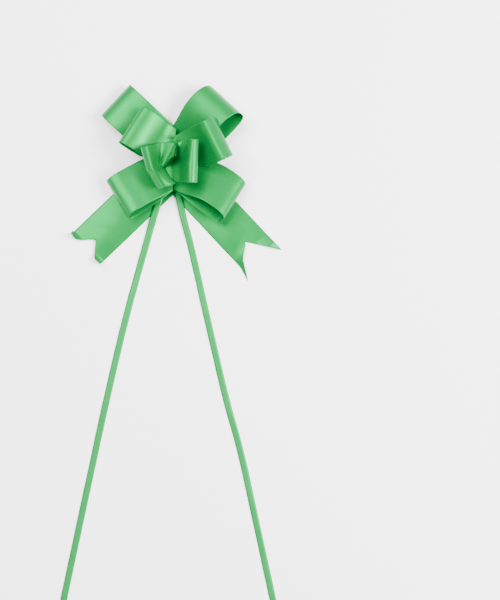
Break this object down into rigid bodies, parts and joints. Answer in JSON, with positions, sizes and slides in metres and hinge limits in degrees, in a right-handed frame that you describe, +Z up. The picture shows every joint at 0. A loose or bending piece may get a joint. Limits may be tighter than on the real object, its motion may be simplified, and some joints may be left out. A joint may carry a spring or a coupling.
{
  "type": "pull-string gift bow",
  "caption": "Butterfly-style gift bow gathered from two wide ribbons by two narrow pull strings, with paired loops, two V-notched tails and long loose string ends.",
  "frame": {"origin": "where the gather line meets the surface that the bow lies on, at the middle of the lowest weld's underside", "axes": "+Z up out of the surface, along the gather line; the strings run towards -Y, and +X is to the right with the strings nearest"},
  "size_m": [0.1674, 0.4336, 0.0338],
  "materials": {
    "ribbon": "satin polypropylene ribbon film",
    "string": "satin polypropylene string film"
  },
  "bodies": {
    "root": {"loop_1_left": "ribbon", "loop_1_right": "ribbon", "weld_4": "ribbon", "weld_5": "ribbon", "left_string_core": "string", "right_string_core": "string", "left_string": "string", "right_string": "string", "left_string_coil": "string", "right_string_coil": "string"},
    "layer_2": {"loop_2_left": "ribbon", "loop_2_right": "ribbon", "weld_3": "ribbon"},
    "layer_3": {"loop_3_left": "ribbon", "loop_3_right": "ribbon", "weld_2": "ribbon"},
    "layer_4": {"loop_4_left": "ribbon", "loop_4_right": "ribbon", "weld_1": "ribbon", "left_pointed_end": "ribbon", "right_pointed_end": "ribbon"},
    "left_tail": {"left_tail": "ribbon"},
    "right_tail": {"right_tail": "ribbon"}
  },
  "joints": [
    {"name": "layer_2_swivel", "type": "hinge", "parent": "root", "child": "layer_2", "pos_m": [0, 0, 0], "axis": [0, 0, 1], "range_deg": [-8, 8], "stiffness_Nm_per_rad": 0.0004},
    {"name": "layer_3_swivel", "type": "hinge", "parent": "layer_2", "child": "layer_3", "pos_m": [0, 0, 0], "axis": [0, 0, 1], "range_deg": [-8, 8], "stiffness_Nm_per_rad": 0.0004},
    {"name": "layer_4_swivel", "type": "hinge", "parent": "layer_3", "child": "layer_4", "pos_m": [0, 0, 0], "axis": [0, 0, 1], "range_deg": [-8, 8], "stiffness_Nm_per_rad": 0.0004},
    {"name": "left_tail_swing", "type": "hinge", "parent": "root", "child": "left_tail", "pos_m": [0, 0, 0], "axis": [0, 0, 1], "range_deg": [-6, 6], "stiffness_Nm_per_rad": 0.0004},
    {"name": "right_tail_swing", "type": "hinge", "parent": "root", "child": "right_tail", "pos_m": [0, 0, 0], "axis": [0, 0, 1], "range_deg": [-6, 6], "stiffness_Nm_per_rad": 0.0004}
  ]
}
